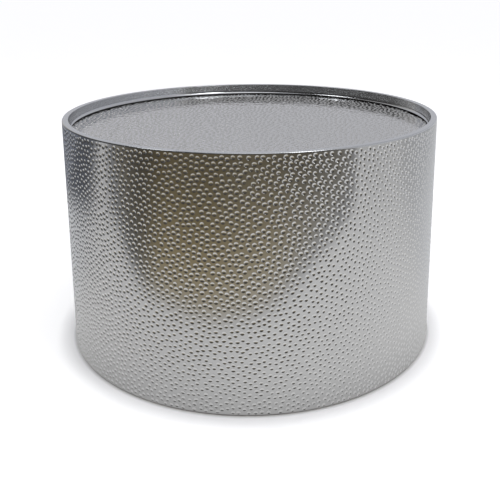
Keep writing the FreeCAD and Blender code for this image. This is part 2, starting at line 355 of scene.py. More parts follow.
@dataclass(frozen=True)
class SmoothRim(Finish):
    """Spun rim: fine lines round the axis and a slightly softer gloss than the sheet."""

    name: str = "smooth_rim"
    light: Colour = (0.545, 0.557, 0.577)
    dark: Colour = (0.487, 0.499, 0.519)
    gloss: float = 0.17
    lines_round: Pair = (1.5, 900.0)
    line_gloss: float = 0.08
    wear_scale: float = 38.0
    wear_gloss: float = 0.05
    relief: float = 0.006 * MM

    def sockets(self, paint: Paint) -> dict[str, object]:
        """Tone and gloss from the lines and from wear, relief from the lines.

        Args:
            paint: builder of the material's nodes.

        Returns:
            The values and links of the shader's sockets.
        """
        lines = paint.round_marks(*self.lines_round, 2.0)
        wear = paint.speckle(self.wear_scale, 4.0)
        return {
            "Base Color": paint.blend((lines + wear) / 2.0, self.dark, self.light),
            "Roughness": paint.about(self.gloss, (lines, self.line_gloss), (wear, self.wear_gloss)),
            "Metallic": 1.0,
            "Normal": paint.bump(lines, self.relief),
        }


@dataclass(frozen=True)
class PlatedSteel(Finish):
    """Plated pins and screws: mottled tone and gloss."""

    name: str
    light: Colour
    dark: Colour
    gloss: float
    mottle_scale: float = 420.0
    mottle_gloss: float = 0.16
    relief: float = 0.02 * MM

    def sockets(self, paint: Paint) -> dict[str, object]:
        """Tone, gloss and relief from one mottle.

        Args:
            paint: builder of the material's nodes.

        Returns:
            The values and links of the shader's sockets.
        """
        mottle = paint.speckle(self.mottle_scale, 3.0)
        return {
            "Base Color": paint.blend(mottle, self.dark, self.light),
            "Roughness": paint.about(self.gloss, (mottle, self.mottle_gloss)),
            "Metallic": 1.0,
            "Normal": paint.bump(mottle, self.relief),
        }


class PlyLay(Enum):
    """Way in which a plywood's plies are stacked."""

    LEVEL = "flat boards, one ply above the other"
    BENT = "bent wall, one ply round the other"


@dataclass(frozen=True)
class Plywood(Finish):
    """Pale plywood: long grain on the faces, alternating plies on the edges; painted shade, near-black, above
    a level if any.
    """

    name: str
    lay: PlyLay
    ply: float
    light: Colour = (0.66, 0.50, 0.33)
    dark: Colour = (0.50, 0.345, 0.205)
    painted_shade: Colour = (0.018, 0.016, 0.014)
    painted_shade_from: float = math.inf
    painted_shade_fade: float = 3.0 * MM
    painted_shade_waver: float = 4.0 * MM
    gloss: float = 0.62
    grain_gloss: float = 0.2
    level_grain: Triple = (9.0, 120.0, 30.0)
    bent_grain: Pair = (60.0, 9.0)
    pore_scale: float = 700.0
    ply_edge: Pair = (0.42, 0.58)
    grain_share: float = 0.65
    ply_share: float = 0.25
    pore_share: float = 0.10
    figure_range: Pair = (0.25, 0.75)
    grain_relief: float = 0.6
    relief: float = 0.15 * MM

    def sockets(self, paint: Paint) -> dict[str, object]:
        """Figure from grain, plies and pores, gloss from the grain, relief from grain and pores.

        Args:
            paint: builder of the material's nodes.

        Returns:
            The values and links of the shader's sockets.
        """
        x, y, z = paint.axes()
        if self.lay is PlyLay.LEVEL:
            depth, grain = z, paint.speckle(1.0, 5.0, self.level_grain)
        else:
            depth, grain = (x * x + y * y) ** 0.5, paint.round_marks(*self.bent_grain, 5.0)
        plies = depth.math("PINGPONG", depth / self.ply, 1.0)
        pores = paint.speckle(self.pore_scale, 2.0)
        edge = paint.ramp(plies, *self.ply_edge)
        figure = grain * self.grain_share + edge * self.ply_share + pores * self.pore_share
        tone = paint.blend(paint.ramp(figure, *self.figure_range), self.light, self.dark)
        # Above the level the wood is painted near-black: painted shade for the shadow gap under the rim.
        if math.isfinite(self.painted_shade_from):
            shade_span = (self.painted_shade_from, self.painted_shade_from + self.painted_shade_fade)
            tone = paint.blend(paint.ramp(z + grain * self.painted_shade_waver, *shade_span), tone, self.painted_shade)
        return {
            "Base Color": tone,
            "Roughness": paint.about(self.gloss, (grain, self.grain_gloss)),
            "Normal": paint.bump(grain * self.grain_relief + pores * (1.0 - self.grain_relief), self.relief),
        }


@dataclass(frozen=True)
class FibreBoard(Finish):
    """Pressed board under the top sheet: brown, with fine chips."""

    name: str = "board"
    light: Colour = (0.47, 0.35, 0.235)
    dark: Colour = (0.30, 0.21, 0.135)
    gloss: float = 0.75
    chip_scale: float = 330.0
    chip_share: float = 0.6
    dust_scale: float = 900.0
    dust_gloss: float = 0.2
    relief: float = 0.12 * MM

    def sockets(self, paint: Paint) -> dict[str, object]:
        """Tone and relief from chips and dust, gloss from the dust.

        Args:
            paint: builder of the material's nodes.

        Returns:
            The values and links of the shader's sockets.
        """
        cells = {"Vector": paint.place(), "Scale": self.chip_scale}
        chips = paint.make("ShaderNodeTexVoronoi", {}, cells, "Color")
        tone = paint.make("ShaderNodeSeparateColor", {}, {0: chips}, "Red")
        dust = paint.speckle(self.dust_scale, 2.0)
        share = tone * self.chip_share + dust * (1.0 - self.chip_share)
        return {
            "Base Color": paint.blend(share, self.dark, self.light),
            "Roughness": paint.about(self.gloss, (dust, self.dust_gloss)),
            "Normal": paint.bump((tone + dust) / 2.0, self.relief),
        }


@dataclass(frozen=True)
class Softwood(Finish):
    """Planed posts: yearly rings drawn out along the post."""

    name: str = "softwood"
    light: Colour = (0.70, 0.53, 0.33)
    dark: Colour = (0.52, 0.335, 0.165)
    gloss: float = 0.6
    drift_stretch: Triple = (14.0, 14.0, 1.2)
    years: float = 14.0
    year_share: float = 0.7
    fibre_stretch: Triple = (600.0, 600.0, 12.0)
    fibre_gloss: float = 0.2
    fibre_relief: float = 0.7
    relief: float = 0.12 * MM

    def sockets(self, paint: Paint) -> dict[str, object]:
        """Tone and relief from years and fibre, gloss from the fibre.

        Args:
            paint: builder of the material's nodes.

        Returns:
            The values and links of the shader's sockets.
        """
        drift = paint.speckle(1.0, 2.0, self.drift_stretch)
        years = drift.math("PINGPONG", drift * self.years, 1.0)
        fibre = paint.speckle(1.0, 3.0, self.fibre_stretch)
        share = years * years * self.year_share + fibre * (1.0 - self.year_share)
        return {
            "Base Color": paint.blend(share, self.light, self.dark),
            "Roughness": paint.about(self.gloss, (fibre, self.fibre_gloss)),
            "Normal": paint.bump(fibre * self.fibre_relief + years * (1.0 - self.fibre_relief), self.relief),
        }


@dataclass(frozen=True)
class GlidePlastic(Finish):
    """Dark moulded plastic with a fine spark texture, scuffed underneath."""

    name: str = "glide_plastic"
    light: Colour = (0.060, 0.060, 0.062)
    dark: Colour = (0.028, 0.028, 0.030)
    gloss: float = 0.48
    spark_scale: float = 1600.0
    spark_gloss: float = 0.2
    scuff_stretch: Triple = (30.0, 500.0, 30.0)
    scuff_gloss: float = 0.1
    relief: float = 0.05 * MM

    def sockets(self, paint: Paint) -> dict[str, object]:
        """Tone from the scuffs, gloss from both, relief from the spark texture.

        Args:
            paint: builder of the material's nodes.

        Returns:
            The values and links of the shader's sockets.
        """
        spark = paint.speckle(self.spark_scale, 2.0)
        scuffs = paint.speckle(1.0, 3.0, self.scuff_stretch)
        return {
            "Base Color": paint.blend(scuffs, self.dark, self.light),
            "Roughness": paint.about(self.gloss, (spark, self.spark_gloss), (scuffs, self.scuff_gloss)),
            "Normal": paint.bump(spark, self.relief),
        }


@dataclass
class Shell:
    """Collects points and faces as arrays and writes them as one mesh that keeps its own corner normals."""

    points: list[np.ndarray] = field(default_factory=list)
    pits: list[np.ndarray] = field(default_factory=list)
    corners: list[np.ndarray] = field(default_factory=list)
    normals: list[np.ndarray] = field(default_factory=list)
    sizes: list[np.ndarray] = field(default_factory=list)
    blocks: list[np.ndarray] = field(default_factory=list)
    count: int = 0

    def add_points(self, points: np.ndarray, pit: "np.ndarray | float" = 0.0) -> np.ndarray:
        """Adds points.

        Args:
            points: any array of x, y, z.
            pit: 1 for a point in a pit, otherwise 0.

        Returns:
            The points' numbers, in the same shape.
        """
        shape = points.shape[:-1]
        number = np.arange(self.count, self.count + math.prod(shape)).reshape(shape)
        self.points.append(points.reshape(-1, 3))
        self.pits.append(np.broadcast_to(pit, shape).reshape(-1))
        self.count += number.size
        return number

    def add_faces(self, block: int, faces: np.ndarray, normals: np.ndarray) -> None:
        """Adds faces of one size and turn, all turned round where that faces them as their normals do.

        Args:
            block: number of the faces' smooth stretch; the edges between stretches are sharp.
            faces: one row of point numbers for each face.
            normals: a normal for each corner, or one for all.
        """
        faces = faces.reshape(-1, faces.shape[-1])
        normals = np.broadcast_to(normals, (*faces.shape, 3))
        ring = np.concatenate(self.points)[faces]
        area = np.cross(ring - ring[:, :1], np.roll(ring, -1, axis=1) - ring[:, :1]).sum(axis=1)
        if (area * normals.sum(axis=1)).sum() < 0.0:
            faces, normals = faces[:, ::-1], normals[:, ::-1]
        self.corners.append(faces.reshape(-1))
        self.normals.append(normals.reshape(-1, 3))
        self.sizes.append(np.full(len(faces), faces.shape[1]))
        self.blocks.append(np.full(faces.size, block))

    def mark_sharp(self, mesh: bpy.types.Mesh) -> None:
        """Marks the edges between faces of different stretches as sharp."""
        edge = np.empty(len(mesh.loops), dtype=np.int32)
        mesh.loops.foreach_get("edge_index", edge)
        block = np.concatenate(self.blocks)
        low, high = np.full(len(mesh.edges), block.max()), np.zeros(len(mesh.edges), dtype=block.dtype)
        np.minimum.at(low, edge, block)
        np.maximum.at(high, edge, block)
        mesh.attributes.new("sharp_edge", "BOOLEAN", "EDGE").data.foreach_set("value", low < high)

    def write(self, name: str, material: bpy.types.Material) -> bpy.types.Object:
        """Makes the object.

        Args:
            name: the piece's name.
            material: its finish.

        Returns:
            The new object, linked to the scene.
        """
        corners = np.concatenate(self.corners).astype(np.int32)
        sizes = np.concatenate(self.sizes)
        mesh = bpy.data.meshes.new(name)
        mesh.vertices.add(self.count)
        mesh.vertices.foreach_set("co", np.concatenate(self.points).astype(np.float32).ravel())
        mesh.loops.add(len(corners))
        mesh.loops.foreach_set("vertex_index", corners)
        mesh.polygons.add(len(sizes))
        mesh.polygons.foreach_set("loop_start", (np.cumsum(sizes) - sizes).astype(np.int32))
        mesh.update(calc_edges=True)
        self.mark_sharp(mesh)
        pit = mesh.attributes.new(PIT, "FLOAT", "POINT")
        pit.data.foreach_set("value", np.concatenate(self.pits).astype(np.float32))
        normal = mesh.attributes.new("custom_normal", "FLOAT_VECTOR", "CORNER")
        normal.data.foreach_set("vector", unit(np.concatenate(self.normals)).astype(np.float32).ravel())
        mesh.update()
        mesh.materials.append(material)
        return add_object(name, mesh)


def unit(vectors: np.ndarray) -> np.ndarray:
    """Vectors brought to length 1."""
    return vectors / np.linalg.norm(vectors, axis=-1, keepdims=True)


def grid_quads(number: np.ndarray) -> np.ndarray:
    """Faces between the rows and columns of a grid of point numbers."""
    corners = [number[:-1, :-1], number[:-1, 1:], number[1:, 1:], number[1:, :-1]]
    return np.stack(corners, axis=-1).reshape(-1, 4)


def directions(angles: np.ndarray) -> tuple[np.ndarray, np.ndarray]:
    """Unit vectors away from the upright axis and round it, at each angle."""
    zero = np.zeros_like(angles)
    outward = np.stack([np.cos(angles), np.sin(angles), zero], axis=-1)
    onward = np.stack([-np.sin(angles), np.cos(angles), zero], axis=-1)
    return outward, onward


@dataclass(frozen=True)
class Pits:
    """Oval pits on a flat sheet: one row of each array for each pit."""

    middles: np.ndarray
    long: np.ndarray
    short: np.ndarray
    depths: np.ndarray
    turns: np.ndarray
    shoulder: float = 1.06

    def pick(self, wanted: np.ndarray) -> "Pits":
        """The pits that a mask or a list of numbers picks."""
        rows = (self.middles, self.long, self.short, self.depths, self.turns)
        return Pits(*(row[wanted] for row in rows), self.shoulder)

    def reach(self) -> np.ndarray:
        """How far each pit and its rounded edge go from its middle."""
        return self.long * self.shoulder

    def way_between(self, along: np.ndarray, axis: int, clear: float) -> np.ndarray:
        """A line near 0 that winds between the pits, so that a sheet can be cut without cutting a pit.

        At each place the line is 0, moved as far as the half chords of the pits' outer circles ask: pits with
        their middles below 0 stay below the line and the others above it.

        Args:
            along: places along the line.
            axis: the axis, 0 or 1, that the line runs along.
            clear: distance kept from the pits.

        Returns:
            The line's value on the other axis at each place.
        """
        reach = self.reach()[:, None] + clear
        chord = reach ** 2 - (along - self.middles[:, axis, None]) ** 2
        half = np.sqrt(np.clip(chord, 0.0, None))
        other = self.middles[:, 1 - axis, None]
        far = 1.0
        low = np.where((chord > 0.0) & (other < 0.0), other + half, -far).max(axis=0)
        high = np.where((chord > 0.0) & (other >= 0.0), other - half, far).min(axis=0)
        return np.where(low > high, (low + high) / 2.0, np.clip(0.0, low, np.maximum(low, high)))


@dataclass(frozen=True)
class DentPattern:
    """One repeat of the rolled emboss: pits thrown at random, pushed apart to lie evenly, then shaken."""

    width: float
    height: float
    total: int = 224
    apart: float = 12.0 * MM
    push: float = 0.25
    settling: int = 40
    shake: float = 2.3 * MM
    shaken_apart: float = 9.0 * MM
    shaken_settling: int = 6
    pit_radius: float = 3.65 * MM
    pit_depth: float = 1.06 * MM
    deepest: float = 1.13 * MM
    radius_spread: float = 0.10
    depth_spread: float = 0.10
    oval: float = 0.08
    closest: float = 0.43
    open_ends: float = 10.0
    seed: int = 25

    @staticmethod
    def gaps(middles: np.ndarray, size: np.ndarray) -> tuple[np.ndarray, np.ndarray]:
        """Vectors and distances between all pits, the short way round a repeating field."""
        gap = middles[:, None] - middles[None]
        gap -= size * np.round(gap / size)
        return gap, np.linalg.norm(gap, axis=-1) + np.eye(len(middles))

    def settle(self, middles: np.ndarray, size: np.ndarray, apart: float, times: int,
               low: float = -1.0, high: float = 1.0) -> np.ndarray:
        """Moves each pit away from every pit nearer than apart, by a share of what is missing, several times.

        Args:
            middles: the pits' middles.
            size: the size of the field, round which distances go.
            apart: the distance to reach.
            times: how many times they move.
            low: lowest height that a middle may have.
            high: highest height.

        Returns:
            The new middles.
        """
        for _ in range(times):
            gap, distance = self.gaps(middles, size)
            missing = np.clip(apart / distance - 1.0, 0.0, None)
            middles = middles + self.push * (gap * missing[..., None]).sum(axis=1)
            middles[:, 1] = np.clip(middles[:, 1], low, high)
        return middles

    def pits(self, rows: int = 1, margin: float = 0.0) -> Pits:
        """The pits of a field one repeat wide, each no larger than its nearest neighbour allows.

        Args:
            rows: how many repeats high the field is.
            margin: unless 0, the field ends at its foot and head, and the middles stay so far from them.

        Returns:
            The pits.
        """
        rng = np.random.default_rng(self.seed)
        size = np.array([self.width, self.height])
        even = self.settle(rng.uniform(0.0, 1.0, (self.total, 2)) * size, size, self.apart, self.settling)
        middles = even + self.shake * rng.uniform(-1.0, 1.0, (self.total, 2))
        middles = self.settle(middles, size, self.shaken_apart, self.shaken_settling) % size
        spread = np.tile(rng.uniform(-1.0, 1.0, (4, self.total)), rows)
        high = rows * self.height
        if margin:
            # Here distances don't go round from the head to the foot.
            size = np.array([self.width, self.open_ends * high])
            middles = (middles + np.arange(rows)[:, None, None] * [0.0, self.height]).reshape(-1, 2)
            middles = self.settle(middles, size, self.shaken_apart, self.settling, margin, high - margin)
        radius = self.pit_radius * (1.0 + self.radius_spread * spread[0])
        radius = np.minimum(radius, self.closest * self.gaps(middles, size)[1].min(axis=1))
        depth = self.pit_depth * radius / self.pit_radius * (1.0 + self.depth_spread * spread[1])
        depth = np.minimum(depth, self.deepest)
        oval = 1.0 + self.oval * np.abs(spread[2])
        return Pits(middles, radius * oval, radius / oval, depth, math.pi * spread[3])

    def cover(self, pits: Pits, rise: float, low: Pair, high: Pair) -> Pits:
        """A field's pits repeated over a box.

        Args:
            pits: the pits of one field.
            rise: the field's height.
            low: the box's lower corner.
            high: its upper corner.

        Returns:
            The pits whose middles lie in the box.
        """
        size = np.array([self.width, rise])
        first, last = np.floor(np.array(low) / size) - 1, np.ceil(np.array(high) / size) + 1
        columns, rows = (np.arange(start, end) for start, end in zip(first, last))
        shift = np.stack(np.meshgrid(columns, rows), axis=-1).reshape(-1, 1, 2) * size
        middles = (pits.middles + shift).reshape(-1, 2)
        every = replace(pits.pick(np.tile(np.arange(len(pits.long)), len(shift))), middles=middles)
        return every.pick(((middles >= low) & (middles < high)).all(axis=1))


@dataclass(frozen=True)
class PittedSheet:
    """A flat sheet with an outline and pits: rings and a middle for each pit, plain triangles between."""

    outline: np.ndarray
    pits: Pits
    steps: int = 12
    inner_rings: tuple[float, ...] = (0.93, 0.66)
    dish: float = 3.5

    def spots(self) -> tuple[np.ndarray, np.ndarray, np.ndarray]:
        """Points of the outline, then for each pit its rings from the outermost in and its middle.

        In a pit's own oval measure, at the share q of its radius, the depth is deep * (1 - q^dish), a bowl
        with a flattish bottom. Its outermost ring lies on the flat sheet, so the bowl's edge is a little
        rounded.

        Returns:
            Flat places, the depth there and its two slopes.
        """
        pits = self.pits
        rings = (pits.shoulder, *self.inner_rings)
        share = np.append(np.repeat(rings, self.steps), 0.0)
        angle = np.append(np.tile(np.arange(self.steps) * 2.0 * math.pi / self.steps, len(rings)), 0.0)
        u, v = share * np.cos(angle), share * np.sin(angle)
        long, short, deep, turn = (row[:, None] for row in (pits.long, pits.short, pits.depths, pits.turns))
        c, s = np.cos(turn), np.sin(turn)
        place = np.stack([c * long * u - s * short * v, s * long * u + c * short * v], axis=-1)
        pressed = share < 1.0
        fall = np.where(pressed, -self.dish * deep * share ** (self.dish - 2.0), 0.0)
        steep = np.stack([c * u / long - s * v / short, s * u / long + c * v / short], axis=-1)
        slope = fall[..., None] * steep
        depth = np.where(pressed, deep * (1.0 - share ** self.dish), 0.0)
        plain = np.zeros(len(self.outline))
        return (np.concatenate([self.outline, (pits.middles[:, None] + place).reshape(-1, 2)]),
                np.concatenate([plain, depth.reshape(-1)]),
                np.concatenate([np.zeros_like(self.outline), slope.reshape(-1, 2)]))

    def holds(self, spots: np.ndarray) -> np.ndarray:
        """Which points lie inside the outline: a ray to the right crosses it an odd number of times.

        Args:
            spots: the points.

        Returns:
            True for each point inside.
        """
        x, y = spots[:, :1], spots[:, 1:]
        x0, y0 = self.outline.T
        x1, y1 = np.roll(self.outline, -1, axis=0).T
        rise = np.where(y1 == y0, 1.0, y1 - y0)
        crossed = ((y < y0) != (y < y1)) & (x < x0 + (y - y0) * (x1 - x0) / rise)
        return crossed.sum(axis=1) % 2 == 1

    def fill(self, spots: np.ndarray, ties: np.ndarray) -> np.ndarray:
        """Plain triangles inside the outline.

        Args:
            spots: flat points, the outline's first.
            ties: pairs of points that are joined by an edge, besides the outline's.

        Returns:
            The triangles, by the points' numbers.
        """
        loop = np.arange(len(self.outline))
        edges = np.concatenate([np.stack([loop, np.roll(loop, -1)], axis=-1), ties])
        inside_only, touching = 1, 1e-6
        result = delaunay_2d_cdt((spots / MM).tolist(), edges.tolist(), [], inside_only, touching, False)
        if len(result[0]) != len(spots):
            raise ValueError("the outline crosses a pit, or two pits meet")
        flat = np.array(result[2])
        keep = (flat >= len(loop)).any(axis=1)
        bare = np.flatnonzero(~keep)
        keep[bare] = self.holds(spots[flat[bare]].mean(axis=1))
        return flat[keep]

    def faces(self, spots: np.ndarray) -> tuple[np.ndarray, np.ndarray]:
        """The sheet's faces.

        Args:
            spots: the flat places of its points.

        Returns:
            Quads between the rings of a pit, and triangles to its middle and between the pits.
        """
        border, rings, total = len(self.outline), 1 + len(self.inner_rings), len(self.pits.long)
        base = border + np.arange(total)[:, None] * (self.steps * rings + 1)
        here = np.arange(self.steps)
        onward = np.roll(here, -1)
        ring = np.arange(rings - 1)[:, None, None] * self.steps
        quads = ring + np.stack([here, onward, onward + self.steps, here + self.steps], axis=-1)
        last = (rings - 1) * self.steps
        bowl = np.stack([here + last, onward + last, np.full(self.steps, last + self.steps)], axis=-1)
        knots = np.append(np.arange(border), base + here)
        owner = np.append(np.full(border, -1), np.repeat(np.arange(total), self.steps))
        rim = border + np.arange(total)[:, None] * self.steps
        flat = self.fill(spots[knots], np.stack([rim + here, rim + onward], axis=-1).reshape(-1, 2))
        own = owner[flat]
        between = flat[(own[:, 0] < 0) | (own != own[:, :1]).any(axis=1)]
        return (base[..., None] + quads.reshape(-1, 4)).reshape(-1, 4), np.concatenate(
            [(base[..., None] + bowl).reshape(-1, 3), knots[between]])


@dataclass
class DrumSkin:
    """The embossed sheet round the drum, cut into panels between the two edges of its seam."""

    finish: EmbossedMetal
    seam_turn: float = math.radians(115.0)
    seam_gap: float = 0.8 * MM
    seam_land: float = 10.5 * MM
    edge_land: float = 4.4 * MM
    panels: int = 8
    repeats_round: int = 16
    repeats_up: int = 3
    columns: int = 96
    levels: int = 400
    cut_share: float = 6.0
    tie_margin: int = 3
    gauge: float = 1.2 * MM

    def __post_init__(self) -> None:
        """Reads the skin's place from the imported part."""
        low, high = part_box("drum_skin")
        self.foot, self.top, self.radius = low.z, high.z, high.x
        self.sweep = (2.0 * math.pi - self.seam_gap / self.radius) / self.panels
        self.width, self.height = self.sweep * self.radius, self.top - self.foot
        repeats = self.repeats_round // self.panels
        self.pattern = DentPattern(self.width / repeats, self.height / self.repeats_up)
        self.strip = self.pattern.pits(self.repeats_up, self.edge_land)

    def sheet(self, index: int) -> PittedSheet:
        """One panel laid flat, winding between the pits at both sides, straight and plain at the seam.

        Args:
            index: the panel's number from the seam.

        Returns:
            The flat panel. Its outline runs along the foot, up, back along the top and down.
        """
        pits = self.pattern.cover(self.strip, self.height, (0.0, 0.0), (self.width, self.height))
        beside = self.pattern.width / self.cut_share
        up = np.linspace(0.0, self.height, self.levels + 1)
        near = self.pattern.cover(self.strip, self.height, (-beside, 0.0), (beside, self.height))
        sway = near.way_between(up, 1, CUT_CLEAR)
        left, right = sway.copy(), self.width + sway
        if index == 0:
            left[:] = 0.0
            pits = pits.pick(pits.middles[:, 0] > self.seam_land + pits.reach())
        if index == self.panels - 1:
            right[:] = self.width
            pits = pits.pick(pits.middles[:, 0] < self.width - self.seam_land - pits.reach())
        foot = np.linspace(left[0], right[0], self.columns + 1)
        head = np.linspace(left[-1], right[-1], self.columns + 1)
        outline = np.concatenate([
            np.stack([foot[:-1], np.zeros(self.columns)], axis=-1),
            np.stack([right[:-1], up[:-1]], axis=-1),
            np.stack([head[:0:-1], np.full(self.columns, self.height)], axis=-1),
            np.stack([left[:0:-1], up[:0:-1]], axis=-1),
        ])
        return PittedSheet(outline, pits)

    def panel(self, index: int) -> Shell:
        """One panel: the flat sheet bent round the drum, less the pits' depth, with a plain inner face.

        Args:
            index: the panel's number from the seam.

        Returns:
            A closed shell.
        """
        sheet = self.sheet(index)
        spots, depth, slope = sheet.spots()
        quads, triangles = sheet.faces(spots)
        start = self.seam_turn + self.seam_gap / 2.0 / self.radius + index * self.sweep
        outward, onward = directions(start + spots[:, 0] / self.radius)
        rise = (self.foot + spots[:, 1])[:, None] * UP
        facing = unit(outward + slope[:, :1] * onward + slope[:, 1:] * UP)
        shell = Shell()
        face = shell.add_points((self.radius - depth)[:, None] * outward + rise, depth > 0.0)
        border = len(sheet.outline)
        back = shell.add_points((self.radius - self.gauge) * outward[:border] + rise[:border])
        tie = np.arange(self.tie_margin, self.columns - self.tie_margin + 1)
        plain = sheet.fill(sheet.outline, np.stack([tie, self.columns * 2 + self.levels - tie], axis=-1))
        shell.add_faces(0, quads, facing[quads])
        shell.add_faces(0, triangles, facing[triangles])
        shell.add_faces(1, back[plain], -outward[plain])
        sides = np.stack([np.append(face[:border], face[0]), np.append(back, back[0])])
        ends = np.cumsum([0, self.columns, self.levels, self.columns, self.levels])
        for block, way in enumerate((-UP, onward[self.columns], UP, -onward[0])):
            shell.add_faces(2 + block, grid_quads(sides[:, ends[block]:ends[block + 1] + 1]), way)
        return shell

    def build(self) -> list[bpy.types.Object]:
        """Makes all panels and puts them in place of the plain skin.

        Returns:
            The panels.
        """
        material = self.finish.material()
        panels = (self.panel(index).write(f"drum_skin_panel_{index + 1}", material)
                  for index in range(self.panels))
        return [stand_in(panel, "drum_skin") for panel in panels]


@dataclass
class TopSheet:
    """The embossed round sheet of the top, in two halves that meet along a line between the pits."""

    finish: EmbossedMetal
    pattern: DentPattern
    edge_land: float = 0.6 * MM
    levels: int = 640
    arc_steps: int = 360

    def __post_init__(self) -> None:
        """Reads the sheet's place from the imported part."""
        low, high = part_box("top_sheet")
        self.bottom, self.level, self.radius = low.z, high.z, high.x

    def half(self, side: float) -> Shell:
        """One half: the level less the pits' depth above, plain below.

        Args:
            side: 1 for the half towards +Y, -1 for the other.

        Returns:
            A closed shell.
        """
        corner = np.array([self.radius, self.radius])
        pits = self.pattern.cover(self.pattern.pits(), self.pattern.height, -corner, corner)
        pits = pits.pick(np.linalg.norm(pits.middles, axis=-1) + pits.reach() < self.radius - self.edge_land)
        along = np.linspace(-self.radius, self.radius, self.levels + 1)
        cut = np.stack([along, pits.way_between(along, 0, CUT_CLEAR)], axis=-1)
        angle = np.linspace(0.0, math.pi, self.arc_steps + 1)
        arc = self.radius * np.stack([np.cos(angle), side * np.sin(angle)], axis=-1)
        sheet = PittedSheet(np.concatenate([cut[:-1], arc[:-1]]), pits.pick(pits.middles[:, 1] * side >= 0.0))
        spots, depth, slope = sheet.spots()
        quads, triangles = sheet.faces(spots)
        facing = unit(np.concatenate([slope, np.ones((len(slope), 1))], axis=-1))
        flat = np.concatenate([spots, np.zeros((len(spots), 1))], axis=-1)
        shell = Shell()
        face = shell.add_points(flat + (self.level - depth)[:, None] * UP, depth > 0.0)
        border = len(sheet.outline)
        under = shell.add_points(flat[:border] + self.bottom * UP)
        shell.add_faces(0, quads, facing[quads])
        shell.add_faces(0, triangles, facing[triangles])
        shell.add_faces(1, under[sheet.fill(sheet.outline, np.empty((0, 2), dtype=int))], -UP)
        sides = np.stack([np.append(face[:border], face[0]), np.append(under, under[0])])
        shell.add_faces(2, grid_quads(sides[:, :self.levels + 1]), np.array([0.0, -side, 0.0]))
        rim = grid_quads(np.stack([sides[0, self.levels:]] * 2))
        shell.add_faces(3, grid_quads(sides[:, self.levels:]), unit(flat[rim]))
        return shell

    def build(self) -> list[bpy.types.Object]:
        """Makes both halves and puts them in place of the plain sheet.

        Returns:
            The halves.
        """
        material = self.finish.material()
        sides = {"far": 1.0, "near": -1.0}
        halves = (self.half(side).write(f"top_sheet_{name}", material) for name, side in sides.items())
        return [stand_in(half, "top_sheet") for half in halves]


@dataclass
class RimCap:
    """The smooth spun rim: lip, rounded outer edge, flat, inner leg and the cove at its foot."""

    finish: SmoothRim
    gauge: float = 1.2 * MM
    lip: float = 2.6 * MM
    edge_radius: float = 2.2 * MM
    inner_edge_radius: float = 1.0 * MM
    leg_inset: float = 11.8 * MM
    cove_radius: float = 8.0 * MM
    cove_height: float = 6.5 * MM
    segments: int = 720
    arc_steps: int = 10

    def __post_init__(self) -> None:
        """Reads the rim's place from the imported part."""
        low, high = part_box("rim_cap")
        self.foot, self.top, self.radius = low.z, high.z, high.x

    def arc(self, middle: Pair, radius: float, start: float, end: float,
            hollow: bool = False) -> tuple[np.ndarray, np.ndarray]:
        """A round stretch of the section.

        Args:
            middle: radius and height of the arc's centre.
            radius: the arc's radius.
            start: first angle, in degrees from outward towards up.
            end: last angle.
            hollow: whether the metal is outside the arc.

        Returns:
            Points and their normals: the centre plus, and the normals along, the arc's own radius.
        """
        angle = np.radians(np.linspace(start, end, self.arc_steps + 1))
        ray = np.stack([np.cos(angle), np.sin(angle)], axis=-1)
        return np.array(middle) + radius * ray, -ray if hollow else ray

    @staticmethod
    def run(*points: Pair) -> tuple[np.ndarray, np.ndarray]:
        """A straight stretch of the section, with the normal to the right of its way."""
        line = np.array(points)
        way = line[-1] - line[0]
        return line, np.broadcast_to(unit(np.array([way[1], -way[0]])), line.shape)

    def section(self) -> list[tuple[np.ndarray, np.ndarray]]:
        """The section's stretches in order, anticlockwise with the radius to the right and height up.

        Returns:
            Points and normals of each stretch, as radius and height.
        """
        skin_inside, leg_inside = self.radius - self.gauge, self.radius - self.leg_inset
        leg_outside, under = leg_inside + self.gauge, self.top - self.gauge
        edge, bend = self.edge_radius, self.edge_radius - self.gauge
        small, lip_foot = self.inner_edge_radius, self.top - self.lip
        cove_top = self.foot + self.cove_height
        cove_middle = (leg_inside - self.cove_radius, cove_top)
        dip = -math.degrees(math.asin(self.cove_height / self.cove_radius))
        toe = cove_middle[0] + self.cove_radius * math.cos(math.radians(dip))
        return [
            self.run((skin_inside, lip_foot), (self.radius, lip_foot)),
            self.run((self.radius, lip_foot), (self.radius, self.top - edge)),
            self.arc((self.radius - edge, self.top - edge), edge, 0.0, 90.0),
            self.run((self.radius - edge, self.top), (leg_inside + small, self.top)),
            self.arc((leg_inside + small, self.top - small), small, 90.0, 180.0),
            self.run((leg_inside, self.top - small), (leg_inside, cove_top)),
            self.arc(cove_middle, self.cove_radius, 0.0, dip, hollow=True),
            self.run((toe, self.foot), (leg_outside, self.foot)),
            self.run((leg_outside, self.foot), (leg_outside, under)),
            self.run((leg_outside, under), (skin_inside - bend, under)),
            self.arc((skin_inside - bend, under - bend), bend, 90.0, 0.0, hollow=True),
            self.run((skin_inside, under - bend), (skin_inside, lip_foot)),
        ]

    def build(self) -> bpy.types.Object:
        """Spins the section round the axis, each stretch with its own normals, and replaces the plain rim.

        Returns:
            The rim.
        """
        outward, _ = directions(np.linspace(0.0, 2.0 * math.pi, self.segments, endpoint=False))
        shell = Shell()
        stretches = self.section()
        line = np.concatenate([points[:-1] for points, _ in stretches])
        number = shell.add_points(line[:, None, :1] * outward + line[:, None, 1:] * UP)
        number = np.concatenate([number, number[:1]])
        number = np.concatenate([number, number[:, :1]], axis=1)
        outward = np.concatenate([outward, outward[:1]])
        first = 0
        for block, (points, normals) in enumerate(stretches):
            steps = len(points) - 1
            facing = normals[:, None, :1] * outward + normals[:, None, 1:] * UP
            corner = grid_quads(np.arange(facing[..., 0].size).reshape(facing.shape[:2]))
            shell.add_faces(block, grid_quads(number[first:first + steps + 1]), facing.reshape(-1, 3)[corner])
            first += steps
        return stand_in(shell.write("rim_cap_spun", self.finish.material()), "rim_cap")


